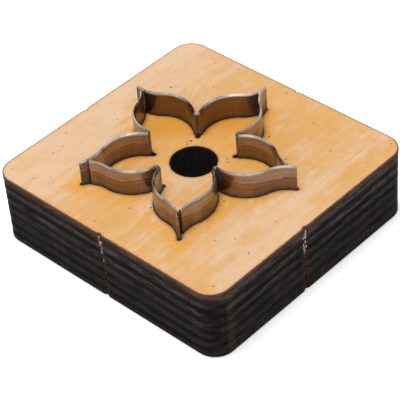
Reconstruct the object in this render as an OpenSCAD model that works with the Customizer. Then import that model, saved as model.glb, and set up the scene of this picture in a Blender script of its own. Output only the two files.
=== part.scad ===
// Steel rule die: five bent cutting rules stand in the slots of a small plywood board
// and together cut a five-petal flower. The rules stand on the press plate, level with
// the underside of the board, and their edges rise above its top.
// +X runs along the front side, +Y to the back, +Z up; the origin is the middle of the underside.

/* [Board] */
// Width of the board along X
board_w = 64.5; // [60:0.5:90]
// Depth of the board along Y
board_d = 62.4; // [60:0.2:90]
// Thickness of the plywood
board_t = 17.5; // [12:0.5:20]
// Radius of the upright corners
corner_r = 4.8; // [2:0.2:10]
// Number of plies in the board
ply_count = 13; // [5:2:17]
// How much deeper the cut burns the plies whose grain runs along a side
ply_recess = 0.14; // [0.04:0.02:0.3]

/* [Break-off nicks] */
// Width of the torn nick that a holding tab leaves in the middle of each side
nick_w = 1.6; // [0.6:0.1:3]
// Depth of a nick
nick_depth = 0.4; // [0.2:0.05:0.8]
// Place along X of the nick in the front side
front_nick_x = 0.3; // [-10:0.1:10]
// Place along X of the nick in the back side
back_nick_x = 1.3; // [-10:0.1:10]
// Place along Y of the nicks in the left and right sides
nick_y = -3.1; // [-10:0.1:10]

/* [Knock-out hole] */
// Radius of the hole through which the cut piece is pushed out
hole_r = 5.2; // [2:0.1:6]
// Place of the hole along X
hole_x = -0.25; // [-1.5:0.05:1.5]
// Place of the hole along Y
hole_y = -1.65; // [-3:0.05:-1]

/* [Flower] */
// Place of the flower's centre along X
flower_x = 0.15; // [-1:0.05:1]
// Place of the flower's centre along Y
flower_y = -2.4; // [-3:0.05:0]
// Distance from the flower's centre to the bend of a rule, between two petals
valley_r = 10.1; // [9:0.1:12]
// Distance from the flower's centre to the crossing of two rules at a petal's tip
tip_r = 23.3; // [21:0.1:25]
// Angle between a rule and the valley's own line where it leaves the bend
valley_half_angle = 13; // [8:0.5:18]
// Angle between a rule and the petal's own line at the tip
tip_half_angle = 11.5; // [8:0.5:20]
// Tangent length of the petal's belly for each unit of its pointed end
fullness = 2.3; // [1.6:0.1:3]

/* [Cutting rule] */
// Thickness of the steel strip
rule_t = 0.71; // [0.5:0.01:1.05]
// Height of the strip from foot to cutting edge
rule_h = 23.8; // [22:0.1:32]
// Full angle of the ground edge
edge_angle = 54; // [30:1:70]
// Width of the fine flat left along the edge
edge_land = 0.04; // [0.02:0.01:0.1]
// Inside radius of the sharp bend in a valley
bend_inner_r = 0.2; // [0.2:0.05:1]
// Length of the long end past the crossing at a petal's tip
overrun = 0.9; // [0.4:0.1:1.8]
// Gap between the short end and the rule that it meets
seam_gap = 0.12; // [0.05:0.01:0.4]

/* [Slots and bridges] */
// Gap between a rule and each side of its slot
slot_clear = 0.08; // [0.02:0.01:0.15]
// Length that the round end of a slot runs past the long end of a rule
slot_over = 0.3; // [0.3:0.05:0.8]
// Length that a slot burns past the bend, towards the flower's centre
relief = 0.65; // [0.4:0.05:1.2]
// Width of the bridge of wood left under the belly of each leg
bridge_w = 5.5; // [3:0.1:7]
// Depth of the shallow slot that is burnt over a bridge
bridge_drop = 2; // [1:0.1:4]
// Gap between a bridge and the notch that straddles it, at both ends and above
notch_clear = 0.4; // [0.2:0.1:0.8]

/* [Hidden] */
$fn = 96;

PETALS = 5;
FIRST_TIP = 90;
DEGREES = 180 / PI;
// Length by which a cutting shape passes the face that it cuts
past = 1;
// Flat facets along the arcs of one leg
bend_steps = 6;
belly_steps = 20;
flare_steps = 12;

half_sector = 180 / PETALS;
slot_w = rule_t + 2 * slot_clear;
bend_r = bend_inner_r + rule_t / 2;
ply_t = board_t / ply_count;
board_cut = board_t + 2 * past;
edge_h = (rule_t - edge_land) / 2 / tan(edge_angle / 2);

function along(angle) = [cos(angle), sin(angle)];
function across(angle) = [-sin(angle), cos(angle)];

// One leg of a rule, with its valley on the X axis and its petal on the +Y side:
// half of the sharp bend, then a belly that turns outwards and a flare that turns back to the tip.
bend_c = [valley_r + bend_r, 0];
leg_start = bend_c + bend_r * across(valley_half_angle);
tip_heading = half_sector + tip_half_angle;
tip = tip_r * along(half_sector);

// The two tangent arcs follow from both end points, both headings and the fullness.
chord = tip - leg_start;
spread = 2 * fullness * (1 - cos(tip_heading - valley_half_angle));
reach = chord * (fullness * along(valley_half_angle) + along(tip_heading));
flare_tangent = (sqrt(reach * reach + spread * (chord * chord)) - reach) / spread;
belly_tangent = fullness * flare_tangent;
middle = tip - flare_tangent * along(tip_heading) - leg_start - belly_tangent * along(valley_half_angle);
middle_heading = atan2(middle[1], middle[0]);
belly_r = belly_tangent / tan((middle_heading - valley_half_angle) / 2);
flare_r = flare_tangent / tan((middle_heading - tip_heading) / 2);
belly_c = leg_start + belly_r * across(valley_half_angle);
flare_c = tip - flare_r * across(tip_heading);

// Angles about the centres of the arcs
bend_to = valley_half_angle + 90;
belly_from = valley_half_angle - 90;
belly_to = middle_heading - 90;
flare_from = middle_heading + 90;
long_end = tip_heading + 90 - overrun / flare_r * DEGREES;

// The short end stops where its inner corner is one gap from the inner face of the long end.
axis_offset = flare_r * cos(tip_half_angle);
inner_r = flare_r + rule_t / 2;
seam_reach = 4 * axis_offset ^ 2 + inner_r ^ 2 - (inner_r + seam_gap) ^ 2;
short_end = half_sector + 90 + acos(seam_reach / (4 * axis_offset * inner_r));

bridge_mid = (belly_from + belly_to) / 2;
bridge_h = board_t - bridge_drop;

// Stations along an arc, each a place and the direction across the strip there
function arc_stations(centre, radius, from, to, steps, first) = [
    for (i = [first : steps])
        let (angle = from + (to - from) * i / steps)
        [centre + radius * along(angle), sign(to - from) * along(angle)]
];

// Stations of one leg, from the middle of the bend to the end
function leg_stations(end) = concat(
    arc_stations(bend_c, bend_r, 180, bend_to, bend_steps, 0),
    arc_stations(belly_c, belly_r, belly_from, belly_to, belly_steps, 1),
    arc_stations(flare_c, flare_r, flare_from, end, flare_steps, 1)
);

function flipped(place) = [place[0], -place[1]];

// Joins the stations of two legs into one run, from the short leg's end round the bend.
function joined(short_leg, long_leg) = concat(
    [for (i = [len(short_leg) - 1 : -1 : 1]) [flipped(short_leg[i][0]), flipped(short_leg[i][1])]],
    long_leg
);

// Outline of a ribbon of constant width that follows a run of stations
function ribbon(stations, width) = concat(
    [for (station = stations) station[0] + width / 2 * station[1]],
    [for (i = [len(stations) - 1 : -1 : 0]) stations[i][0] - width / 2 * stations[i][1]]
);

strip = joined(leg_stations(short_end), leg_stations(long_end));

// The slot's round end reaches past the long end of the rule.
slot_end = long_end - (slot_over - slot_w / 2) / flare_r * DEGREES;

// The strip's section, across and up: square foot, flat sides and an edge ground from both sides
rule_section = [
    [-rule_t / 2, 0],
    [rule_t / 2, 0],
    [rule_t / 2, rule_h - edge_h],
    [edge_land / 2, rule_h],
    [-edge_land / 2, rule_h],
    [-rule_t / 2, rule_h - edge_h]
];

// Sweeps the section through the stations as one closed skin.
module swept_strip() {
    sides = len(rule_section);
    last = len(strip) - 1;
    points = [
        for (station = strip, corner = rule_section)
            let (place = station[0] + corner[0] * station[1])
            [place[0], place[1], corner[1]]
    ];
    walls = [
        for (i = [0 : last - 1], k = [0 : sides - 1])
            let (next = (k + 1) % sides)
            [i * sides + k, i * sides + next, (i + 1) * sides + next, (i + 1) * sides + k]
    ];
    short_cap = [for (k = [sides - 1 : -1 : 0]) k];
    long_cap = [for (k = [0 : sides - 1]) last * sides + k];
    polyhedron(points, concat(walls, [short_cap, long_cap]));
}

// A block across the belly of a leg, from below the underside up to a height.
module across_belly(length, height) {
    half = length / 2 / belly_r * DEGREES;
    translate(belly_c)
        rotate(bridge_mid - half)
            rotate_extrude(angle = 2 * half)
                translate([belly_r - slot_w, -2 * past])
                    square([2 * slot_w, height + 2 * past]);
}

// Children drawn on one leg, and again on the other.
module on_both_legs() {
    children();
    mirror([0, 1, 0])
        children();
}

// Places children drawn on the valley's line at one of the five valleys.
module at_valley(number) {
    translate([flower_x, flower_y])
        rotate(FIRST_TIP - half_sector - (number - 1) * 2 * half_sector)
            children();
}

// One strip bent into a V: the long end overruns the tip of one petal, and the short end
// stops against the next rule at the tip of the other. Each leg is notched over its bridge,
// out of sight below the top of the board.
module cutting_rule(number) {
    color("#8f8172")
        at_valley(number)
            difference() {
                swept_strip();
                on_both_legs()
                    across_belly(bridge_w + 2 * notch_clear, bridge_h + notch_clear);
            }
}

// A round cut through the board.
module burn_end(place) {
    translate([place[0], place[1], -past])
        cylinder(d = slot_w, h = board_cut);
}

// The slot of one rule, with the burn that runs past its bend. It goes through the board
// except over the two bridges, where it stays shallow.
module rule_slot() {
    difference() {
        translate([0, 0, -past])
            linear_extrude(board_cut)
                polygon(ribbon(joined(leg_stations(short_end), leg_stations(slot_end)), slot_w));
        on_both_legs()
            across_belly(bridge_w, bridge_h);
    }
    burn_end(flare_c + flare_r * along(slot_end));
    burn_end(flipped(flare_c + flare_r * along(short_end)));
    burn_end([valley_r - relief, 0]);
    translate([valley_r - relief, -slot_w / 2, -past])
        cube([relief, slot_w, board_cut]);
}

module board_outline() {
    square([board_w - 2 * corner_r, board_d], center = true);
    square([board_w, board_d - 2 * corner_r], center = true);
    for (x = [-1, 1], y = [-1, 1])
        translate([x * (board_w / 2 - corner_r), y * (board_d / 2 - corner_r)])
            circle(r = corner_r);
}

// The edge of one burnt-back ply, in the side at a distance that faces -Y.
module ply_groove(number, side_distance, side_length) {
    translate([-side_length / 2, -side_distance - past, number * ply_t])
        cube([side_length, ply_recess + past, ply_t]);
}

// The plies' grain runs along Y and X by turns, and the cut burns deeper into a ply
// on the two sides that its grain runs along. The face plies stay square.
module ply_grooves() {
    for (number = [1 : ply_count - 2], turned = [0, 180])
        if (number % 2 == 0)
            rotate(90 + turned)
                ply_groove(number, board_w / 2, board_d);
        else
            rotate(turned)
                ply_groove(number, board_d / 2, board_w);
}

// A shallow three-sided tear, in the side at a distance that faces -Y.
module nick(side_distance) {
    translate([0, -side_distance, -past])
        linear_extrude(board_cut)
            polygon([
                [-nick_w / 2, -past],
                [nick_w / 2, -past],
                [nick_w / 2, 0],
                [0, nick_depth],
                [-nick_w / 2, 0]
            ]);
}

module nicks() {
    translate([front_nick_x, 0])
        nick(board_d / 2);
    translate([back_nick_x, 0])
        rotate(180)
            nick(board_d / 2);
    for (turned = [90, 270])
        translate([0, nick_y])
            rotate(turned)
                nick(board_w / 2);
}

module die_board() {
    color("#dcae6c")
        difference() {
            linear_extrude(board_t)
                board_outline();
            translate([hole_x, hole_y, -past])
                cylinder(r = hole_r, h = board_cut);
            ply_grooves();
            nicks();
            for (number = [1 : PETALS])
                at_valley(number)
                    rule_slot();
        }
}

die_board();
cutting_rule(1);  // cutting_rule_1
cutting_rule(2);  // cutting_rule_2
cutting_rule(3);  // cutting_rule_3
cutting_rule(4);  // cutting_rule_4
cutting_rule(5);  // cutting_rule_5
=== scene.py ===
"""Looks of the steel rule die: a laser-cut plywood board with five bent cutting rules.

Lengths are in millimetres, and MM makes metres of them where they reach Blender. Angles are in degrees.
"""

import math
import random

import bpy
import numpy as np
from mathutils import Matrix, Vector, noise
from mathutils.geometry import delaunay_2d_cdt


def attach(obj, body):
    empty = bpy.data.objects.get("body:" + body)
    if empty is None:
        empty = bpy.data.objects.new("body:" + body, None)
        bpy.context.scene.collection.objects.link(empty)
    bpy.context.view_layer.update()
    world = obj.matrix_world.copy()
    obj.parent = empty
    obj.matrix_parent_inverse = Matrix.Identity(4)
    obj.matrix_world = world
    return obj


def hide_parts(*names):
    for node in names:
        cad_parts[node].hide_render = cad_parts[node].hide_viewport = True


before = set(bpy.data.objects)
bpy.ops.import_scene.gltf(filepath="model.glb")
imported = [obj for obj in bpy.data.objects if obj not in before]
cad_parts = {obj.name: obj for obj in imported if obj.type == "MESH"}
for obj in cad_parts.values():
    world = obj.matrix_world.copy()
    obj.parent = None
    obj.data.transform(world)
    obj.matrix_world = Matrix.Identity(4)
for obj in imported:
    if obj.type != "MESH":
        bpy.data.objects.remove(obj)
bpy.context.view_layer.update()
rng = random.Random(7)
MM = 0.001

# Sizes of the CAD source: the board
BOARD_W = 64.5
BOARD_D = 62.4
BOARD_T = 17.5
CORNER_R = 4.8
PLIES = 13
PLY_T = BOARD_T / PLIES
PLY_RECESS = 0.14
NICK_W = 1.6
NICK_DEPTH = 0.4
FRONT_NICK_X = 0.3
BACK_NICK_X = 1.3
SIDE_NICK_Y = -3.1
HOLE_R = 5.2
HOLE = np.array([-0.25, -1.65])

# Sizes of the CAD source: the rules, their slots and the bridges
FLOWER = np.array([0.15, -2.4])
RULES = 5
SECTOR = 180.0 / RULES
VALLEY_R = 10.1
TIP_R = 23.3
VALLEY_HALF = 13.0
TIP_HALF = 11.5
FULLNESS = 2.3
RULE_T = 0.71
RULE_H = 23.8
EDGE_ANGLE = 54.0
EDGE_LAND = 0.04
INNER_BEND_R = 0.2
BEND_R = INNER_BEND_R + RULE_T / 2
OVERRUN = 0.9
SEAM_GAP = 0.12
SLOT_CLEAR = 0.16
SLOT_W = RULE_T + SLOT_CLEAR
SLOT_OVER = 0.3
RELIEF = 0.65
SHALLOW_SLOT = 2.0
BRIDGE_W = 5.5
BRIDGE_H = BOARD_T - SHALLOW_SLOT
NOTCH_CLEAR = 0.4

# Torn nicks in the board's sides: place, way into the wood, and lean of the torn fibres
NICKS = [
    ((FRONT_NICK_X, -BOARD_D / 2), (0, 1), 0.5),
    ((BOARD_W / 2, SIDE_NICK_Y), (-1, 0), 0.15),
    ((BACK_NICK_X, BOARD_D / 2), (0, -1), 0.3),
    ((-BOARD_W / 2, SIDE_NICK_Y), (1, 0), -0.3),
]
# Where the laser's cut round the board starts
CUT_START = (BOARD_W / 2, -BOARD_D / 2 + CORNER_R)
# Larger pores in the face: place and radius
PORES = [
    ((-5.6, 3.2), 0.3),
    ((-5.4, 1.8), 0.22),
    ((4.9, 3.4), 0.2),
    ((6.9, 14.9), 0.25),
    ((14.8, 11.2), 0.22),
    ((-22.4, 14.6), 0.25),
    ((2.9, -18.4), 0.22),
    ((-0.4, -21.2), 0.2),
    ((13.6, -7.2), 0.22),
    ((28.3, -16.0), 0.2),
]
# The rule that kept more of its brown skin
DULL_RULE = 5

# Fineness of the rules: steps along each arc, and rows of points that only keep the faces short
BEND_STEPS = 10
BELLY_STEPS = 14
NOTCH_STEPS = 26
FLARE_STEPS = 30
LOW_ROW = 8.0
HIGH_ROW = 20.6
RULE_CREASE = 20

# Fineness of the board: steps along each arc, degrees between points on a circle, and spacings
SLOT_BEND_STEPS = 6
SLOT_BELLY_STEPS = 30
SLOT_FLARE_STEPS = 16
BRIDGE_STEPS = 6
CORNER_STEP = 3
HOLE_STEP = 5
LOOSE_RING_STEP = 6
SLOT_END_STEP = 20
BURN_STEP = 15
SIDE_SPACING = 0.27
FADE_GAPS = (0.15, 0.4, 0.9)
GRID_MARGIN = 3
GRID_JITTER = 0.2
SAME_POINT = 1e-5
LEVELS_PER_PLY = 6
BOARD_CREASE = 35

# Wear of the cutting edge: its depth, how fast it changes from station to station, and between rules
EDGE_WEAR = 0.035
WEAR_PER_STATION = 0.23
WEAR_PER_RULE = 9.7

# Rounding of the board's rims: its reach, its middle point in and down, what the side's rings keep clear of
# it, and the height over which the side's texture fades to it
RIM_ROUND = 0.1
RIM_MIDDLE = 0.04
RIM_CLEAR = 0.15
RIM_FADE = 0.5

# Texture of the burnt side: how far the plies sway up and down, and the depths of what is burnt away
WIDE_SWAY = 0.20
FINE_SWAY = 0.14
LINE_DEPTH = 0.018
GRIT_DEPTH = 0.04
CHIP_DEPTH = 0.12
CHIP_FROM = 0.2
GLUE_DEPTH = 0.05
GLUE_SHARE = 0.1
GROOVE_EASE = 0.16

# Splinters in each nick: their number, the heights of the two torn parts, how these lean, and the ranges of
# the splinters' sizes
SPLINTERS = 17
HIGH_TEAR = (14.4, 17.3)
LOW_TEAR = (10.5, 14.0)
TEAR_MIDDLE = 13.8
LEAN_SLOPE = 0.11
SPLINTER_TOP = 17.4
SPLINTER_TALL = (0.4, 1.3)
SPLINTER_SHIFT = (-0.4, 0.4)
SPLINTER_HALF = (0.08, 0.24)
SPLINTER_FRONT = (0.02, 0.14)
SPLINTER_ROOT = 0.25
SPLINTER_FACES = ((0, 4, 2), (2, 4, 1), (1, 4, 3), (3, 4, 0), (0, 2, 1), (0, 1, 3))

# A distance past the reach of every burn
FAR = 9.0

# Looks of a rule's faces and of the board's, in the order of their materials
ROLLED, GROUND = range(2)
FACE, SIDE, CUT, TORN = range(4)

# Colours in linear light: the board's face
BIRCH = (0.72, 0.385, 0.120)
PALE_BIRCH = (0.78, 0.535, 0.352)
GOLDEN_REFLECTION = (0.76, 0.365, 0.062)
DEEP_GOLDEN_REFLECTION = (0.70, 0.315, 0.035)
AMBER = (0.76, 0.39, 0.09)
DARK_FIBRE = (0.55, 0.30, 0.12)
PORE_BROWN = (0.07, 0.03, 0.014)
SCORCHED_AND_SHADE = (0.36, 0.15, 0.035)
CHARRED_AND_SHADE = (0.028, 0.013, 0.007)
SCORCHED_RIM = (0.50, 0.24, 0.085)
CHARRED_RIM = (0.15, 0.050, 0.024)

# Colours of the burnt sides, the cuts and the torn wood
CHAR_BLACK = (0.004, 0.0035, 0.0035)
CHAR_GREY = (0.023, 0.0175, 0.0165)
CHAR_LINE = (0.055, 0.046, 0.044)
CHAR_FLAKE = (0.078, 0.064, 0.060)
CHAR_GROOVE = (0.0035, 0.003, 0.003)
CHAR_BROWN = (0.085, 0.045, 0.036)
CHAR_RIDGE = (0.088, 0.070, 0.068)
CHAR_RUSSET = (0.16, 0.060, 0.032)
CHAR_FLECK = (0.11, 0.055, 0.042)
DUST = (0.26, 0.21, 0.18)
CUT_BLACK = (0.006, 0.005, 0.005)
CUT_GREY = (0.022, 0.014, 0.011)
CUT_BAND = (0.004, 0.003, 0.003)
CUT_BROWN = (0.045, 0.018, 0.010)
CUT_RIM = (0.12, 0.045, 0.02)
TORN_DARK = (0.16, 0.10, 0.065)
TORN_PALE = (0.95, 0.84, 0.68)

# Colours of the steel
LOWER_SKIN = (0.218, 0.155, 0.138)
UPPER_SKIN = (0.395, 0.318, 0.285)
BAND_GLINT = (0.34, 0.22, 0.15)
ROLLED_BROWN = (0.16, 0.095, 0.065)
HAIRLINE = (0.46, 0.35, 0.27)
RUBBED_AND_REFLECTED = (0.40, 0.335, 0.305)
INNER_SHADE_BROWN = (0.12, 0.055, 0.03)
SMUDGE_AND_SHADE = (0.070, 0.060, 0.060)
GROUND_DARK = (0.25, 0.21, 0.19)
GROUND_PALE = (0.46, 0.39, 0.35)
GROUND_HIGHLIGHT = (0.68, 0.585, 0.53)
GROUND_STAIN = (0.19, 0.155, 0.13)
GROUND_BEND_SHADE = (0.12, 0.10, 0.09)
GROUND_FOOT = (0.19, 0.12, 0.08)

# Floor, world and lights
WHITE = (1.0, 1.0, 1.0)
PAPER = (0.97, 0.97, 0.97)
FLOOR_SIZE = 6000
FLOOR_DROP = 0.2
FLOOR_GLOW = 0.4
SOFT_BOX_WAY = (0.68, -0.69, 0.25)
LIGHT_SIZE = 500
TOP_LIGHT_AT = (-50, -50, 950)
TOP_LIGHT_WATTS = 7.1
KEY_LIGHT_AT = (-450, -550, 600)
KEY_LIGHT_WATTS = 0.6

# Camera, fitted to the board's outline in the photo
SENSOR_W = 36.0
LENS = 154.4
CLIP_NEAR = 10
CLIP_FAR = 20000
CAMERA_AT = (205.54, -199.98, 252.01)
CAMERA_RIGHT = (0.73307, 0.67705, -0.06492)
CAMERA_UP = (-0.40695, 0.51309, 0.75573)


# The line of a rule


def along(angle):
    return np.array([math.cos(math.radians(angle)), math.sin(math.radians(angle))])


def across(angle):
    return np.array([-math.sin(math.radians(angle)), math.cos(math.radians(angle))])


class Leg:
    """One leg of a rule, with its valley on the X axis: half the bend, a belly and a flare."""

    def __init__(self):
        self.bend_c = np.array([VALLEY_R + BEND_R, 0.0])
        start = self.bend_c + BEND_R * across(VALLEY_HALF)
        heading = SECTOR + TIP_HALF
        tip = TIP_R * along(SECTOR)
        chord = tip - start
        spread = 2 * FULLNESS * (1 - math.cos(math.radians(heading - VALLEY_HALF)))
        reach = chord @ (FULLNESS * along(VALLEY_HALF) + along(heading))
        flare_tangent = (math.sqrt(reach**2 + spread * (chord @ chord)) - reach) / spread
        belly_tangent = FULLNESS * flare_tangent
        middle = tip - flare_tangent * along(heading) - start - belly_tangent * along(VALLEY_HALF)
        turn = math.degrees(math.atan2(middle[1], middle[0]))
        self.belly_r = belly_tangent / math.tan(math.radians(turn - VALLEY_HALF) / 2)
        self.flare_r = flare_tangent / math.tan(math.radians(turn - heading) / 2)
        self.belly_c = start + self.belly_r * across(VALLEY_HALF)
        self.flare_c = tip - self.flare_r * across(heading)
        self.bend_to = VALLEY_HALF + 90
        self.belly_ends = (VALLEY_HALF - 90, turn - 90)
        self.flare_from = turn + 90
        self.long_end = heading + 90 - math.degrees(OVERRUN / self.flare_r)
        offset = self.flare_r * math.cos(math.radians(TIP_HALF))
        inner = self.flare_r + RULE_T / 2
        seam = 4 * offset**2 + inner**2 - (inner + SEAM_GAP) ** 2
        self.short_end = SECTOR + 90 + math.degrees(math.acos(seam / (4 * offset * inner)))
        self.slot_end = self.long_end - math.degrees((SLOT_OVER - SLOT_W / 2) / self.flare_r)
        self.bridge_mid = sum(self.belly_ends) / 2
        self.bridge_half = math.degrees(BRIDGE_W / 2 / self.belly_r)
        self.notch_half = math.degrees((BRIDGE_W / 2 + NOTCH_CLEAR) / self.belly_r)

    def bend(self, steps):
        return arc(self.bend_c, BEND_R, 180, self.bend_to, steps)

    def belly(self, start, end, steps):
        return arc(self.belly_c, self.belly_r, start, end, steps)

    def flare(self, end, steps):
        return arc(self.flare_c, self.flare_r, self.flare_from, end, steps)


def arc(centre, radius, start, end, steps):
    """Stations along an arc: a place and the direction across the strip."""
    angles = [start + (end - start) * i / steps for i in range(steps + 1)]
    sign = 1 if end > start else -1
    return [(centre + radius * along(a), sign * along(a)) for a in angles]


def chain(*parts):
    """Joins arcs end to end, each shared station once."""
    run = list(parts[0])
    for part in parts[1:]:
        run += part[1:]
    return run


def flip(v):
    return np.array([v[0], -v[1]])


def joined(short_leg, long_leg):
    """One run from the short leg's end round the bend to the long leg's end."""
    return [(flip(p), flip(n)) for p, n in reversed(short_leg[1:])] + list(long_leg)


def valley_angle(number):
    return 90 - SECTOR - (number - 1) * 2 * SECTOR


def at_valley(number, point):
    """A point of the rule on the X axis, moved to the rule with this number."""
    a = math.radians(valley_angle(number))
    c, s = math.cos(a), math.sin(a)
    return np.array([c * point[0] - s * point[1], s * point[0] + c * point[1]]) + FLOWER


LEG = Leg()


# Meshes


class Build:
    """A mesh that grows point by point and face by face, with named values at each point."""

    def __init__(self, *names):
        self.points = []
        self.faces = []
        self.looks = []
        self.values = {name: [] for name in names}

    def point(self, x, y, z, **values):
        self.points.append((x * MM, y * MM, z * MM))
        for name, value in values.items():
            self.values[name].append(value)
        return len(self.points) - 1

    def face(self, points, look):
        self.faces.append(tuple(points))
        self.looks.append(look)

    def to_object(self, name, crease):
        """The finished object, smooth but for edges that are sharper than the crease angle."""
        mesh = bpy.data.meshes.new(name)
        mesh.from_pydata(self.points, [], self.faces)
        mesh.polygons.foreach_set("material_index", self.looks)
        mesh.update()
        for key, values in self.values.items():
            mesh.attributes.new(key, "FLOAT", "POINT").data.foreach_set("value", values)
        mesh.polygons.foreach_set("use_smooth", [True] * len(mesh.polygons))
        mesh.set_sharp_from_angle(angle=math.radians(crease))
        obj = bpy.data.objects.new(name, mesh)
        bpy.context.scene.collection.objects.link(obj)
        return obj


# Cutting rules

SHOULDER_Z = RULE_H - (RULE_T - EDGE_LAND) / 2 / math.tan(math.radians(EDGE_ANGLE / 2))
NOTCH_Z = BRIDGE_H + NOTCH_CLEAR
# Rows of points from the foot to the edge: height and half the thickness there
RULE_ROWS = [(z, RULE_T / 2) for z in (0, LOW_ROW, NOTCH_Z, BOARD_T, HIGH_ROW, SHOULDER_Z)]
RULE_ROWS.append((RULE_H, EDGE_LAND / 2))
NOTCH_ROW = 2
TOP_ROW = len(RULE_ROWS) - 1


def rule_leg(end):
    """Stations of one leg of a rule, and for each step between them whether it is notched."""
    notch_from = LEG.bridge_mid - LEG.notch_half
    notch_to = LEG.bridge_mid + LEG.notch_half
    parts = [
        (LEG.bend(BEND_STEPS), False),
        (LEG.belly(LEG.belly_ends[0], notch_from, BELLY_STEPS), False),
        (LEG.belly(notch_from, notch_to, NOTCH_STEPS), True),
        (LEG.belly(notch_to, LEG.belly_ends[1], BELLY_STEPS), False),
        (LEG.flare(end, FLARE_STEPS), False),
    ]
    run = chain(*[part for part, _ in parts])
    notched = [flag for part, flag in parts for _ in range(len(part) - 1)]
    return run, notched


def rule_stations():
    """Stations of one rule, the notched steps, and each station's way to the bend and to the nearer end."""
    short_run, short_notched = rule_leg(LEG.short_end)
    long_run, long_notched = rule_leg(LEG.long_end)
    run = joined(short_run, long_run)
    notched = short_notched[::-1] + long_notched
    steps = [float(np.linalg.norm(b - a)) for (a, _), (b, _) in zip(run, run[1:])]
    length = np.cumsum([0.0] + steps)
    from_bend = np.abs(length - length[len(short_run) - 1])
    to_end = np.minimum(length - length[0], length[-1] - length)
    return run, notched, from_bend, to_end


def make_rule(number):
    run, notched, from_bend, to_end = rule_stations()
    dull = 1.0 if number == DULL_RULE else 0.0
    build = Build("from_bend", "to_end", "inner", "dull")
    for i, (place, side) in enumerate(run):
        # The edge is a little worn: its height drops by hundredths along the strip.
        worn = noise.noise((i * WEAR_PER_STATION, number * WEAR_PER_RULE, 0.0))
        edge_z = RULE_H - EDGE_WEAR * max(0.0, worn)
        for sign, inner in ((1, 0.0), (-1, 1.0)):
            for z, half in RULE_ROWS:
                x, y = at_valley(number, place + sign * half * side)
                values = {"from_bend": from_bend[i], "to_end": to_end[i], "inner": inner, "dull": dull}
                build.point(x, y, min(z, edge_z), **values)
    add_rule_faces(build, notched)
    return build.to_object(f"rule_{number}", RULE_CREASE)


def add_rule_faces(build, notched):
    """Each station has a column of points on the rule's outer side and then one on its inner side."""
    count = len(RULE_ROWS)
    last = len(notched)

    def outer(i, row):
        return 2 * count * i + row

    def inner(i, row):
        return 2 * count * i + count + row

    def look(row):
        return GROUND if row == TOP_ROW - 1 else ROLLED

    for i in range(last):
        k = i + 1
        low = NOTCH_ROW if notched[i] else 0
        for row in range(low, TOP_ROW):
            up = row + 1
            build.face((outer(i, row), outer(k, row), outer(k, up), outer(i, up)), look(row))
            build.face((inner(k, row), inner(i, row), inner(i, up), inner(k, up)), look(row))
        build.face((outer(i, TOP_ROW), outer(k, TOP_ROW), inner(k, TOP_ROW), inner(i, TOP_ROW)), GROUND)
        build.face((inner(i, low), inner(k, low), outer(k, low), outer(i, low)), ROLLED)
    # Upright walls where a notch starts or ends
    for i in range(1, last):
        if notched[i - 1] != notched[i]:
            for row in range(NOTCH_ROW):
                wall = (outer(i, row), outer(i, row + 1), inner(i, row + 1), inner(i, row))
                build.face(wall[::-1] if notched[i] else wall, ROLLED)
    # The two ends of the strip
    for row in range(TOP_ROW):
        up = row + 1
        build.face((inner(0, row), outer(0, row), outer(0, up), inner(0, up)), look(row))
        build.face((outer(last, row), inner(last, row), inner(last, up), outer(last, up)), look(row))


# Plan of the board


def side_points(start, end, nick):
    """Points from start up to end, without end, that dip into the nick, each with its outward direction."""
    start, end = np.array(start, float), np.array(end, float)
    length = np.linalg.norm(end - start)
    way = (end - start) / length
    inward = np.array([-way[1], way[0]])
    middle = (np.array(nick) - start) @ way
    stops = [0.0, middle - NICK_W / 2, middle, middle + NICK_W / 2, length]
    points = []
    for a, b in zip(stops, stops[1:]):
        steps = max(1, round((b - a) / SIDE_SPACING))
        for k in range(steps):
            s = a + (b - a) * k / steps
            depth = max(0.0, NICK_DEPTH * (1 - abs(s - middle) / (NICK_W / 2)))
            points.append((start + way * s + inward * depth, -inward))
    return points


def outline():
    """Points round the board, counter-clockwise, each with its outward direction."""
    w, d, r = BOARD_W / 2, BOARD_D / 2, CORNER_R
    # Each side's ends, in the nicks' order, and the corner after it: its centre and first angle
    sides = [
        ((-w + r, -d), (w - r, -d), (w - r, -d + r), -90),
        ((w, -d + r), (w, d - r), (w - r, d - r), 0),
        ((w - r, d), (-w + r, d), (-w + r, d - r), 90),
        ((-w, d - r), (-w, -d + r), (-w + r, -d + r), 180),
    ]
    points = []
    for (start, end, centre, angle), (nick, _, _) in zip(sides, NICKS):
        points += side_points(start, end, nick)
        ways = [along(angle + a) for a in range(0, 90, CORNER_STEP)]
        points += [(np.array(centre) + r * way, way) for way in ways]
    return points


def circle(centre, radius, step):
    return [centre + radius * along(a) for a in range(0, 360, step)]


def slot_runs():
    """Each rule's number, with the stations of its slot's centre line, valley on the X axis."""

    def leg(end):
        belly = LEG.belly(*LEG.belly_ends, SLOT_BELLY_STEPS)
        return chain(LEG.bend(SLOT_BEND_STEPS), belly, LEG.flare(end, SLOT_FLARE_STEPS))

    run = joined(leg(LEG.short_end), leg(LEG.slot_end))
    return [(number, run) for number in range(1, RULES + 1)]


def slot_polygons():
    """The slots with their round ends and the burns past the bends."""
    burn = np.array([VALLEY_R - RELIEF, 0])
    tongue = [burn + SLOT_W / 2 * along(a) for a in range(90, 271, BURN_STEP)]
    tongue += [np.array([VALLEY_R, -SLOT_W / 2]), np.array([VALLEY_R, SLOT_W / 2])]
    polygons = []
    for number, stations in slot_runs():
        left = [p + SLOT_W / 2 * n for p, n in stations]
        right = [p - SLOT_W / 2 * n for p, n in stations]
        ends = [circle(p, SLOT_W / 2, SLOT_END_STEP) for p, _ in (stations[0], stations[-1])]
        for shape in (left + right[::-1], *ends, tongue):
            polygons.append(counter_clockwise([at_valley(number, p) for p in shape]))
    return polygons


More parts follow.
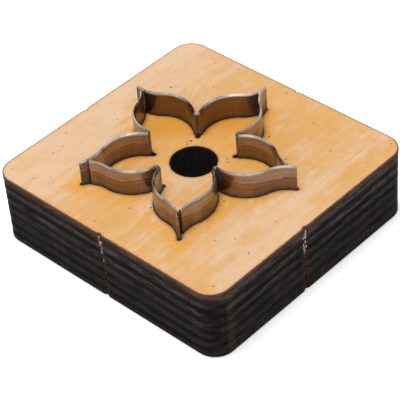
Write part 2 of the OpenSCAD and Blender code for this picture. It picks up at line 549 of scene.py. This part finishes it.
def bridge_polygons():
    """Blocks of wood across the slots, two to a rule, over which the slots stay shallow."""
    start, end = LEG.bridge_mid - LEG.bridge_half, LEG.bridge_mid + LEG.bridge_half
    stations = LEG.belly(start, end, BRIDGE_STEPS)
    block = [p + SLOT_W * n for p, n in stations] + [p - SLOT_W * n for p, n in reversed(stations)]
    polygons = []
    for number in range(1, RULES + 1):
        for shape in (block, [flip(p) for p in block]):
            polygons.append(counter_clockwise([at_valley(number, p) for p in shape]))
    return polygons


def area(points):
    q = np.array(points)
    x, y = q[:, 0], q[:, 1]
    return float(np.sum(x * np.roll(y, -1) - y * np.roll(x, -1))) / 2


def counter_clockwise(points):
    return points if area(points) > 0 else points[::-1]


def loose_points():
    """Points that make the triangles even, and are close together beside the cuts, where the burns fade."""
    points = []
    for number, stations in slot_runs():
        for p, n in stations:
            for gap in FADE_GAPS:
                points += [at_valley(number, p + sign * (SLOT_W / 2 + gap) * n) for sign in (1, -1)]
    for gap in FADE_GAPS:
        points += circle(HOLE, HOLE_R + gap, LOOSE_RING_STEP)
        points += [p - (RIM_ROUND + gap) * n for p, n in outline()[::2]]
    reach_x = int(BOARD_W / 2) - GRID_MARGIN
    reach_y = int(BOARD_D / 2) - GRID_MARGIN
    for x in range(-reach_x, reach_x + 1):
        for y in range(-reach_y, reach_y + 1):
            shift_x = rng.uniform(-GRID_JITTER, GRID_JITTER)
            shift_y = rng.uniform(-GRID_JITTER, GRID_JITTER)
            points.append((x + shift_x, y + shift_y))
    return points


def face_plan():
    """Plan of the board as triangles.

    Gives the points, the triangles of the wood's face, those of the bridges under the slots,
    those that are open all the way, and the rim's point numbers.
    """
    rim = [p - RIM_ROUND * n for p, n in outline()]
    cuts = [circle(HOLE, HOLE_R, HOLE_STEP)] + slot_polygons()
    points, polygons = [], []
    for ring in [rim] + cuts + bridge_polygons():
        polygons.append(list(range(len(points), len(points) + len(ring))))
        points += ring
    points = [Vector(p) for p in points + loose_points()]
    inside_only = 1
    cdt = delaunay_2d_cdt(points, [], polygons, inside_only, SAME_POINT)
    flat, _, triangles, came_from, _, inside = cdt
    flat = np.array([tuple(p) for p in flat])
    face, over_bridge, open_through = [], [], []
    for t, ids in zip(triangles, inside):
        t = tuple(t) if area([flat[i] for i in t]) > 0 else tuple(t[::-1])
        # Polygon 0 is the rim, then come the cuts, and then the bridges.
        if 0 not in ids:
            continue
        if not any(1 <= i <= len(cuts) for i in ids):
            face.append(t)
        elif any(i > len(cuts) for i in ids):
            over_bridge.append(t)
        else:
            open_through.append(t)
    number_of = {old: new for new, olds in enumerate(came_from) for old in olds}
    return flat, face, over_bridge, open_through, [number_of[i] for i in range(len(rim))]


def distance_to(points, lines):
    """Least distance from each point to any of the polylines."""
    best = np.full(len(points), np.inf)
    for line in lines:
        a, b = line[:-1], line[1:]
        d = b - a
        rel = points[:, None] - a[None]
        t = np.clip((rel * d).sum(2) / (d * d).sum(1), 0, 1)
        best = np.minimum(best, np.linalg.norm(rel - t[..., None] * d, axis=2).min(1))
    return best


# Board


def make_board():
    build = Build("beside_cut", "beside_edge", "depth")
    flat, face, over_bridge, open_through, rim = face_plan()
    add_flats(build, flat, face, over_bridge)
    add_walls(build, len(flat), (face, over_bridge, open_through))
    add_sides(build, rim, [2 * len(flat) + i for i in rim])
    add_splinters(build)
    return build.to_object("board", BOARD_CREASE)


def add_flats(build, flat, face, over_bridge):
    """The top, the bridges under the slots and the underside, each with a layer of the plan's points."""
    slots = [np.array([at_valley(number, p) for p, _ in stations]) for number, stations in slot_runs()]
    beside_slot = np.maximum(0, distance_to(flat, slots) - SLOT_W / 2)
    beside_hole = np.maximum(0, np.linalg.norm(flat - HOLE, axis=1) - HOLE_R)
    beside_cut = np.minimum(beside_slot, beside_hole)
    edge = np.array([p for p, _ in outline()])
    beside_edge = distance_to(flat, [np.vstack([edge, edge[:1]])])
    for z in (BOARD_T, BRIDGE_H, 0.0):
        for (x, y), to_cut, to_edge in zip(flat, beside_cut, beside_edge):
            build.point(x, y, z, beside_cut=to_cut, beside_edge=to_edge, depth=0.0)
    count = len(flat)
    for t in face:
        build.face(t, FACE)
    for t in over_bridge:
        build.face([count + i for i in t], CUT)
    for t in face + over_bridge:
        build.face([2 * count + i for i in t[::-1]], FACE)


def add_walls(build, count, kinds):
    """Walls of the slots, the hole and the bridges' ends, where one layer steps down to another."""
    layer_of = {}
    for layer, kind in enumerate(kinds):
        for t in kind:
            for a, b in zip(t, t[1:] + t[:1]):
                layer_of[(a, b)] = layer
    for (a, b), layer in layer_of.items():
        beyond = layer_of.get((b, a), layer)
        for step in range(layer * count, beyond * count, count):
            build.face((step + b, step + a, step + count + a, step + count + b), CUT)


def side_levels():
    """Heights of the burnt side's rings from the top down, and how far the rim's rounding sets each in."""
    levels = [(BOARD_T - RIM_MIDDLE, RIM_MIDDLE), (BOARD_T - RIM_ROUND, 0.0)]
    for ply in range(PLIES, 0, -1):
        for k in range(LEVELS_PER_PLY):
            z = (ply - (k + 0.5) / LEVELS_PER_PLY) * PLY_T
            if RIM_CLEAR < z < BOARD_T - RIM_CLEAR:
                levels.append((z, 0.0))
    return levels + [(RIM_ROUND, 0.0), (RIM_MIDDLE, RIM_MIDDLE)]


def add_sides(build, top_rim, bottom_rim):
    """The burnt sides, from the top rim down to the bottom rim."""
    ways = outline()
    rings = [top_rim]
    for z, inset in side_levels():
        fade = min(1.0, (BOARD_T - z) / RIM_FADE, z / RIM_FADE)
        ring = []
        for p, n in ways:
            depth = side_depth(p, n, z) * fade
            x, y = p - (inset + depth) * n
            ring.append(build.point(x, y, z, beside_cut=FAR, beside_edge=0.0, depth=depth))
        rings.append(ring)
    rings.append(bottom_rim)
    size = len(top_rim)
    for upper, lower in zip(rings, rings[1:]):
        for i in range(size):
            k = (i + 1) % size
            build.face((upper[i], lower[i], lower[k], upper[k]), SIDE)


def side_depth(point, way, z):
    """How far the burnt side lies behind the flat one: ply grooves, laser lines and small chips."""
    run = point[0] * way[1] - point[1] * way[0]

    def ripple(per_run, shift, rise, layer):
        """Noise from about -1 to 1. The shift keeps the sides from being alike."""
        return noise.noise((run * per_run + shift, rise, layer))

    sway = WIDE_SWAY * ripple(0.05, way[0] * 21, z * 0.22, way[1] * 13)
    sway += FINE_SWAY * ripple(0.5, way[0] * 33, z * 0.7, way[1] * 17)
    high = min(max(z + sway, 0.0), BOARD_T)
    ply = min(PLIES - 1, int(high / PLY_T))
    into = high / PLY_T - ply
    from_glue = min(into, 1 - into)
    wander = ripple(0.22, way[0] * 40, ply * 3.1, 1.7)
    lines = ripple(1.9, way[0] * 80, z * 0.12, 5.1)
    grit = ripple(1.4, way[1] * 60, z * 1.6, 9.3)
    chips = ripple(0.45, way[1] * 90, z * 0.9, 3.7)
    # Every second ply shows its end grain on a side and burns back further. The two outer plies don't.
    if ply in (0, PLIES - 1):
        groove = 0.0
    else:
        groove = way[1] ** 2 if ply % 2 else way[0] ** 2
    eased = min(1.0, from_glue / GROOVE_EASE)
    depth = PLY_RECESS * groove * eased * (0.85 + 0.65 * wander + 0.25 * math.sin(ply * 2.4 + way[0]))
    depth += LINE_DEPTH * (1 + lines) + GRIT_DEPTH * max(0.0, grit) + CHIP_DEPTH * max(0.0, chips - CHIP_FROM)
    depth += GLUE_DEPTH * max(0.0, 1 - from_glue / GLUE_SHARE) * (0.6 + 0.4 * wander)
    return depth


def add_splinters(build):
    """Torn fibres of unburnt wood that stand in the upper half of each nick."""
    for place, way, lean in NICKS:
        inward = np.array(way, float)
        level = np.array([inward[1], -inward[0]])
        for _ in range(SPLINTERS):
            top = rng.choice((rng.uniform(*HIGH_TEAR), rng.uniform(*LOW_TEAR)))
            tall = rng.uniform(*SPLINTER_TALL)
            shift = rng.uniform(*SPLINTER_SHIFT) + lean * (TEAR_MIDDLE - top) * LEAN_SLOPE
            half = rng.uniform(*SPLINTER_HALF)
            back = NICK_DEPTH * (1 - abs(shift) / (NICK_W / 2)) + SPLINTER_ROOT
            front = rng.uniform(*SPLINTER_FRONT)
            base = np.array(place) + level * shift
            # Two roots in the wood, a tip, a foot and a ridge between them
            corners = (
                (-half, back, top - tall * 0.5),
                (half, back, top - tall * 0.4),
                (half * 0.2, front, top),
                (-half * 0.3 + lean * 0.2, front + 0.05, top - tall),
                (half * 0.4, front * 0.5 + 0.03, top - tall * 0.45),
            )
            numbers = []
            for sideways, depth, z in corners:
                x, y = base + level * sideways + inward * depth
                z = min(z, SPLINTER_TOP)
                numbers.append(build.point(x, y, z, beside_cut=FAR, beside_edge=FAR, depth=FAR))
            for corner_numbers in SPLINTER_FACES:
                build.face([numbers[k] for k in corner_numbers], TORN)


# Node trees


class Nodes:
    """A node tree that is built call by call. Each call gives an output of the new node."""

    def __init__(self, tree):
        self.tree = tree

    def add(self, kind, inputs=(), out=0, **settings):
        node = self.tree.nodes.new("ShaderNode" + kind)
        for key, value in settings.items():
            setattr(node, key, value)
        for key, value in dict(inputs).items():
            self.put(node.inputs[key], value)
        return node.outputs[out]

    def put(self, socket, value):
        if isinstance(value, bpy.types.NodeSocket):
            self.tree.links.new(value, socket)
        elif socket.type == "RGBA":
            socket.default_value = (*value, 1.0)
        else:
            socket.default_value = value

    def fold(self, operation, values):
        """One operation after another, from the first value to the last."""
        total = values[0]
        for value in values[1:]:
            total = self.add("Math", {0: total, 1: value}, operation=operation)
        return total

    def plus(self, *values):
        return self.fold("ADD", values)

    def minus(self, *values):
        return self.fold("SUBTRACT", values)

    def times(self, *values):
        return self.fold("MULTIPLY", values)

    def most(self, *values):
        return self.fold("MAXIMUM", values)

    def ramp(self, value, start, end, low=0.0, high=1.0):
        """Goes smoothly from low, where the value is start, to high, where it is end."""
        inputs = {"Value": value, "From Min": start, "From Max": end, "To Min": low, "To Max": high}
        return self.add("MapRange", inputs, interpolation_type="SMOOTHSTEP")

    def seen(self):
        """1 where it is looked at, also in metal or through glass, and 0 where it lights something."""
        path = self.add("LightPath").node.outputs
        return self.most(path["Is Camera Ray"], path["Is Glossy Ray"], path["Is Transmission Ray"])


class Shader(Nodes):
    """A material whose colour is painted on layer by layer. Places in it are in millimetres."""

    def __init__(self, name, colour):
        self.material = bpy.data.materials.new(name)
        self.material.use_nodes = True
        super().__init__(self.material.node_tree)
        self.bsdf = self.tree.nodes["Principled BSDF"]
        self.colour = colour
        self.place = self.scale(self.add("TexCoord").node.outputs["Object"], (1 / MM, 1 / MM, 1 / MM))
        self.x, self.y, self.z = self.add("SeparateXYZ", {0: self.place}).node.outputs

    def set(self, **values):
        for key, value in values.items():
            self.put(self.bsdf.inputs[key.replace("_", " ")], value)

    def paint(self, share, colour):
        """Lays a colour over what is there."""
        self.colour = self.add("Mix", {0: share, 6: self.colour, 7: colour}, out=2, data_type="RGBA")

    def scale(self, vector, by):
        return self.add("VectorMath", {0: vector, 1: by}, operation="MULTIPLY")

    def away(self, point, flat=False):
        """Distance from a point, or from the upright line through it."""
        place = self.scale(self.place, (1, 1, 0)) if flat else self.place
        return self.add("VectorMath", {0: place, 1: point}, operation="DISTANCE", out=1)

    def noise(self, by, detail, rough, warp=0.0):
        """Noise from 0 to 1. By is how many waves it has to a millimetre along each axis."""
        inputs = {"Vector": self.scale(self.place, by), "Scale": 1.0}
        inputs.update({"Detail": detail, "Roughness": rough, "Distortion": warp})
        return self.add("TexNoise", inputs)

    def about_zero(self, noise_value, spread):
        return self.times(self.minus(noise_value, 0.5), spread)

    def cells(self, by, dimensions="3D"):
        """Scattered cells: the distance from the nearest one's middle, and a chance from 0 to 1 for each."""
        inputs = {"Vector": self.scale(self.place, by), "Scale": 1.0}
        cell = self.add("TexVoronoi", inputs, voronoi_dimensions=dimensions)
        return cell, self.add("SeparateColor", {0: cell.node.outputs["Color"]})

    def value(self, name):
        """A value that the mesh has at each point."""
        return self.add("Attribute", attribute_name=name, out=2)

    def bump(self, height, strength, distance):
        return self.add("Bump", {"Height": height, "Strength": strength, "Distance": distance * MM})


# Materials of the board


def wood_face():
    s = Shader("birch_face", BIRCH)
    cloud = s.noise((0.20, 0.085, 0.1), 4, 0.6, 1.2)
    mottle = s.noise((0.55, 0.42, 0.5), 4, 0.7, 0.6)
    fibre = s.noise((6.0, 0.22, 3.0), 3, 0.6)
    patches = s.noise((0.13, 0.11, 0.1), 3, 0.55, 0.8)
    pale = wood_paleness(s, cloud, mottle)
    speck = wood_pores(s)
    s.paint(s.ramp(pale, 1.03, 1.85), PALE_BIRCH)
    paint_golden_reflection(s, pale, s.plus(cloud, mottle))
    s.paint(s.ramp(patches, 0.52, 0.72, 0, 0.5), AMBER)
    s.paint(s.ramp(fibre, 0.52, 0.75, 0, 0.14), DARK_FIBRE)
    s.paint(s.times(speck, 0.85), PORE_BROWN)
    paint_burns_and_shade(s)
    s.set(Base_Color=s.colour, Roughness=s.ramp(fibre, 0.3, 0.8, 0.42, 0.58), Specular_IOR_Level=0.2)
    s.set(Normal=s.bump(s.plus(fibre, s.times(speck, -3.0)), 0.12, 0.2))
    return s.material


def wood_paleness(s, cloud, mottle):
    """How pale the grain is, with paler streaks at the left, in front of the hole and at the right."""
    broad = s.noise((0.085, 0.012, 0.05), 2, 0.5, 0.6)
    streak = s.noise((0.75, 0.022, 0.4), 4, 0.6, 0.4)
    left = s.ramp(s.x, -5, -27, 0, 0.37)
    front = s.times(s.ramp(s.x, -7, 0, 0, 0.26), s.ramp(s.x, 13, 5))
    front = s.times(front, s.ramp(s.y, 4, -6), s.ramp(s.y, -25, -17))
    right = s.times(s.ramp(s.x, 14, 24, 0, 0.30), s.ramp(s.y, 16, -2, 0.15), s.ramp(s.y, -31, -19, 0.1))
    weights = ((broad, 0.45), (streak, 0.62), (cloud, 0.92), (mottle, 0.55))
    grain = [s.times(value, weight) for value, weight in weights]
    return s.plus(*grain, left, front, right)


def paint_golden_reflection(s, pale, uneven):
    """Painted warm reflection and shade from the rules: the face is more golden among the rules, and most of
    all behind the flower.
    """
    middle = s.away((*FLOWER, BOARD_T))
    rear = s.minus(s.y, s.x)
    beside = s.times(s.ramp(s.value("beside_cut"), 5.5, 0.8, 0, 0.95), s.ramp(uneven, 1.20, 0.85, 0.45))
    among = s.times(s.ramp(middle, 20, 9), s.ramp(rear, -8, 8, 0.45, 0.9))
    golden_reflection = s.times(s.most(beside, among), s.ramp(middle, 6, 14, 0.42), s.ramp(pale, 1.81, 1.27))
    s.paint(golden_reflection, GOLDEN_REFLECTION)
    # Painted warm reflection and shade, deepest behind the flower
    s.paint(s.times(s.ramp(middle, 22, 16), s.ramp(rear, 8, 16, 0, 0.85)), DEEP_GOLDEN_REFLECTION)


def wood_pores(s):
    """1 in the small pores and the few larger ones, and 0 outside them."""
    cell, chance = s.cells((0.34, 0.28, 0.2), "2D")
    speck = s.times(s.ramp(cell, 0.075, 0.03), s.ramp(chance, 0.84, 0.97))
    large = [s.ramp(s.away((*place, BOARD_T)), size * 1.4, size * 0.5) for place, size in PORES]
    return s.most(speck, *large)


def paint_burns_and_shade(s):
    """Scorched wood beside the cuts, past the bends and along the outer edge. Beside the slots the dark bands
    are also painted contact shade at the rules' feet.
    """
    ragged = s.about_zero(s.noise((1.1, 1.1, 1.1), 3, 0.6), 0.35)
    cut = s.plus(s.value("beside_cut"), ragged)
    edge = s.plus(s.value("beside_edge"), ragged)
    # Beside the cuts: real scorch, and beside the slots also painted contact shade where the rules stand in
    # them
    s.paint(s.ramp(cut, 0.8, 0.15, 0, 0.4), SCORCHED_AND_SHADE)
    s.paint(s.ramp(cut, 0.22, 0.05, 0, 0.9), CHARRED_AND_SHADE)
    for number in range(1, RULES + 1):
        burn = at_valley(number, (VALLEY_R - RELIEF - 0.1, 0))
        past_bend = s.plus(s.away((*burn, BOARD_T)), ragged)
        s.paint(s.ramp(past_bend, 0.85, 0.55, 0, 0.92), CHARRED_AND_SHADE)
    s.paint(s.ramp(edge, 0.8, 0.2, 0, 0.45), SCORCHED_RIM)
    s.paint(s.ramp(edge, 0.40, 0.14, 0, 0.92), CHARRED_RIM)


def charred_side():
    s = Shader("charred_plies", CHAR_BLACK)
    burnt = s.noise((0.16, 0.16, 1.1), 5, 0.68)
    flakes = s.noise((2.6, 2.6, 2.2), 4, 0.8)
    lines = s.noise((3.0, 3.0, 0.15), 2, 0.5)
    depth = s.value("depth")
    s.paint(s.ramp(burnt, 0.35, 0.68), CHAR_GREY)
    s.paint(s.ramp(lines, 0.5, 0.72, 0, 0.3), CHAR_LINE)
    s.paint(s.ramp(flakes, 0.56, 0.74, 0, 0.65), CHAR_FLAKE)
    s.paint(s.ramp(flakes, 0.46, 0.34, 0, 0.6), CHAR_BLACK)
    s.paint(s.ramp(depth, 0.045, 0.13, 0, 0.9), CHAR_GROOVE)
    # The side is browner and its ridges are paler towards the top
    upper = s.ramp(s.z, BOARD_T - 4.3, BOARD_T - 0.3)
    s.paint(s.times(upper, s.ramp(burnt, 0.3, 0.62, 0.35), 0.6), CHAR_BROWN)
    ridge = s.times(s.ramp(depth, 0.075, 0.02), s.ramp(burnt, 0.42, 0.58))
    s.paint(s.times(ridge, s.ramp(s.z, BOARD_T - 11.5, BOARD_T - 2.5, 0.05, 0.75)), CHAR_RIDGE)
    s.paint(s.ramp(s.z, BOARD_T - 0.7, BOARD_T - 0.1, 0, 0.85), CHAR_RUSSET)
    # Brown flecks beside the torn nicks and where the cut starts
    marks = [place for place, _, _ in NICKS] + [CUT_START]
    beside = s.most(*[s.ramp(s.away((*place, 0), flat=True), 1.5, 0.3, 0, 0.7) for place in marks])
    s.paint(s.times(beside, s.ramp(flakes, 0.46, 0.64)), CHAR_FLECK)
    # Pale dust that sticks to the char
    cell, chance = s.cells((0.75, 0.75, 0.75))
    s.paint(s.times(s.ramp(cell, 0.12, 0.05), s.ramp(chance, 0.72, 0.85, 0, 0.6)), DUST)
    s.set(Base_Color=s.colour, Roughness=s.ramp(flakes, 0.3, 0.7, 0.55, 0.8), Specular_IOR_Level=0.04)
    s.set(Normal=s.bump(s.plus(s.times(lines, 0.6), flakes), 0.5, 0.15))
    return s.material


def charred_cut():
    s = Shader("charred_cut", CUT_BLACK)
    burnt = s.noise((0.8, 0.8, 0.5), 3, 0.6)
    plies = s.add("Math", {0: s.times(s.z, math.pi / PLY_T)}, operation="SINE")
    s.paint(s.ramp(burnt, 0.35, 0.7), CUT_GREY)
    s.paint(s.ramp(plies, -0.5, 0.8, 0, 0.4), CUT_BAND)
    s.paint(s.ramp(s.z, BOARD_T - 1.5, BOARD_T - 0.1, 0, 0.5), CUT_BROWN)
    s.paint(s.ramp(s.z, BOARD_T - 0.4, BOARD_T - 0.05, 0, 0.6), CUT_RIM)
    s.set(Base_Color=s.colour, Roughness=0.7, Specular_IOR_Level=0.25)
    return s.material


def torn_wood():
    s = Shader("torn_wood", TORN_DARK)
    grain = s.noise((3.0, 3.0, 0.7), 3, 0.6)
    s.paint(s.ramp(grain, 0.35, 0.7), TORN_PALE)
    s.set(Base_Color=s.colour, Roughness=0.75, Specular_IOR_Level=0.2)
    return s.material


# Materials of the rules


def rule_side():
    s = Shader("rolled_steel", LOWER_SKIN)
    inner, dull = s.value("inner"), s.value("dull")
    patch = s.noise((0.16, 0.16, 0.25), 3, 0.55)
    rolled = s.noise((0.12, 0.12, 5.5), 3, 0.6)
    blots = s.noise((1.5, 1.5, 1.5), 3, 0.6)
    hair = s.noise((2.4, 2.4, 0.08), 2, 0.5)
    rubbed_and_reflected = s.noise((0.2, 0.2, 0.03), 2, 0.5)
    # A paler rolled band below the edge ends in a crisp line that wanders along the strip
    level = s.plus(s.z, s.about_zero(patch, 3.2))
    band = s.ramp(level, RULE_H - 2.85, RULE_H - 2.65)
    s.paint(s.times(band, s.ramp(dull, 0, 1, 1.0, 0.25)), UPPER_SKIN)
    glint = s.times(s.ramp(level, RULE_H - 3.75, RULE_H - 3.5), s.ramp(level, RULE_H - 3.05, RULE_H - 3.3))
    s.paint(s.times(glint, 0.6), BAND_GLINT)
    s.paint(s.ramp(rolled, 0.42, 0.68, 0, 0.5), ROLLED_BROWN)
    s.paint(s.ramp(hair, 0.52, 0.75, 0, 0.22), HAIRLINE)
    # Pale upright runs: rubbed steel, and painted reflections of the bright surroundings
    s.paint(s.times(s.ramp(rubbed_and_reflected, 0.50, 0.64, 0, 0.4), s.ramp(dull, 0, 1, 1.0, 0.3)), RUBBED_AND_REFLECTED)
    # Inner faces darker and redder: painted shade and warm reflection of the flower's inside, stronger on the
    # dull rule
    s.paint(s.times(inner, s.ramp(dull, 0, 1, 0.18, 0.36)), INNER_SHADE_BROWN)
    marks_and_shade = steel_marks_and_shade(s, inner, blots)
    # Heat and oil marks, darkened further as painted shade in the creases, the inner corners and at the foot
    s.paint(s.times(marks_and_shade, 0.85), SMUDGE_AND_SHADE)
    rough = s.plus(s.ramp(blots, 0.3, 0.7, 0.24, 0.34), s.times(marks_and_shade, 0.22))
    s.set(Base_Color=s.colour, Metallic=s.minus(1.0, s.times(marks_and_shade, 0.5)), Roughness=rough)
    s.set(Normal=s.bump(s.plus(rolled, s.times(hair, 0.4)), 0.07, 0.1))
    return s.material


def steel_marks_and_shade(s, inner, blots):
    """Blackish heat and oil marks, and painted shade: outside the bends, in the tips' inner corners and low
    on the strip by the board.
    """
    soot_and_shade = s.noise((0.9, 0.9, 0.7), 4, 0.7)
    more_outside = s.plus(s.times(s.minus(1.0, inner), 0.7), 0.3)
    more_inside = s.plus(s.times(inner, 0.85), 0.08)
    bend = s.times(s.ramp(s.value("from_bend"), 2.8, 0.6), s.ramp(soot_and_shade, 0.34, 0.58, 0.2), more_outside)
    end = s.times(s.ramp(s.value("to_end"), 3.6, 0.8), s.ramp(soot_and_shade, 0.36, 0.60, 0.1), more_inside)
    low = s.times(s.ramp(s.z, BOARD_T + 1.4, BOARD_T + 0.1), s.ramp(blots, 0.38, 0.58, 0.45))
    return s.most(bend, end, low)


def ground_edge():
    s = Shader("ground_edge", GROUND_DARK)
    lines = s.noise((0.9, 0.9, 6.0), 3, 0.6)
    stain = s.noise((0.6, 0.6, 0.6), 3, 0.6)
    runs = s.noise((0.24, 0.24, 0.05), 2, 0.5)
    s.paint(s.ramp(lines, 0.35, 0.7), GROUND_PALE)
    # Painted highlights: brighter runs, more of them inside the petals
    painted_glints = s.times(s.ramp(runs, 0.40, 0.62, 0.10, 0.80), s.ramp(s.value("inner"), 0, 1, 0.25))
    s.paint(painted_glints, GROUND_HIGHLIGHT)
    s.paint(s.ramp(stain, 0.45, 0.7, 0, 0.5), GROUND_STAIN)
    # Painted shade: the ground edge is darker near the bends
    s.paint(s.ramp(s.value("from_bend"), 2.2, 0.2, 0, 0.6), GROUND_BEND_SHADE)
    # The ground face runs into the rolled one
    s.paint(s.ramp(s.z, RULE_H - 0.38, RULE_H - 0.53), GROUND_FOOT)
    s.set(Base_Color=s.colour, Metallic=1.0, Roughness=s.ramp(lines, 0.3, 0.7, 0.16, 0.28))
    return s.material


# Stage


def make_stage():
    bpy.ops.mesh.primitive_plane_add(size=FLOOR_SIZE * MM, location=(0, 0, -FLOOR_DROP * MM))
    floor = bpy.context.object
    floor.name = "floor"
    paper = Shader("pale_floor", PAPER)
    paper.set(Base_Color=paper.colour, Roughness=0.9, Specular_IOR_Level=0.0)
    paper.set(Emission_Color=WHITE, Emission_Strength=paper.times(paper.seen(), FLOOR_GLOW))
    floor.data.materials.append(paper.material)
    make_world()
    soft_light("top", TOP_LIGHT_AT, TOP_LIGHT_WATTS)
    soft_light("key", KEY_LIGHT_AT, KEY_LIGHT_WATTS)


def make_world():
    """A pale studio, palest near the horizon, with a soft box behind the camera, and white where seen."""
    world = bpy.data.worlds.new("studio")
    world.use_nodes = True
    bpy.context.scene.world = world
    nodes = Nodes(world.node_tree)
    way = nodes.add("TexCoord")
    high = nodes.add("SeparateXYZ", {0: way}, out=2)
    toward = nodes.add("VectorMath", {0: way, 1: SOFT_BOX_WAY}, operation="DOT_PRODUCT", out=1)
    pale = nodes.most(nodes.ramp(high, 0.15, 0.65, 0.55, 0.16), nodes.seen())
    back = world.node_tree.nodes["Background"].inputs
    nodes.put(back["Color"], WHITE)
    nodes.put(back["Strength"], nodes.plus(pale, nodes.ramp(toward, 0.70, 0.97, 0, 0.6)))


def soft_light(name, place, watts):
    """A round lamp that faces the origin."""
    light = bpy.data.lights.new(name, "AREA")
    light.shape = "DISK"
    light.size = LIGHT_SIZE * MM
    light.energy = watts
    obj = bpy.data.objects.new(name, light)
    obj.location = Vector(place) * MM
    obj.rotation_mode = "QUATERNION"
    obj.rotation_quaternion = (-Vector(place)).to_track_quat("-Z", "Y")
    bpy.context.scene.collection.objects.link(obj)


def make_camera():
    lens = bpy.data.cameras.new("camera")
    lens.sensor_width = SENSOR_W
    lens.lens = LENS
    lens.clip_start = CLIP_NEAR * MM
    lens.clip_end = CLIP_FAR * MM
    camera = bpy.data.objects.new("camera", lens)
    right, up = Vector(CAMERA_RIGHT), Vector(CAMERA_UP)
    turn = Matrix((right, up, right.cross(up))).transposed().to_4x4()
    camera.matrix_world = Matrix.Translation(Vector(CAMERA_AT) * MM) @ turn
    bpy.context.scene.collection.objects.link(camera)
    bpy.context.scene.camera = camera


board = make_board()
for look in (wood_face(), charred_side(), charred_cut(), torn_wood()):
    board.data.materials.append(look)
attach(board, "root")
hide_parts("die_board")

steel = (rule_side(), ground_edge())
for number in range(1, RULES + 1):
    rule = make_rule(number)
    for look in steel:
        rule.data.materials.append(look)
    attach(rule, "root")
    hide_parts(f"cutting_rule_{number}")

make_stage()
make_camera()
bpy.context.scene.view_settings.view_transform = "Standard"
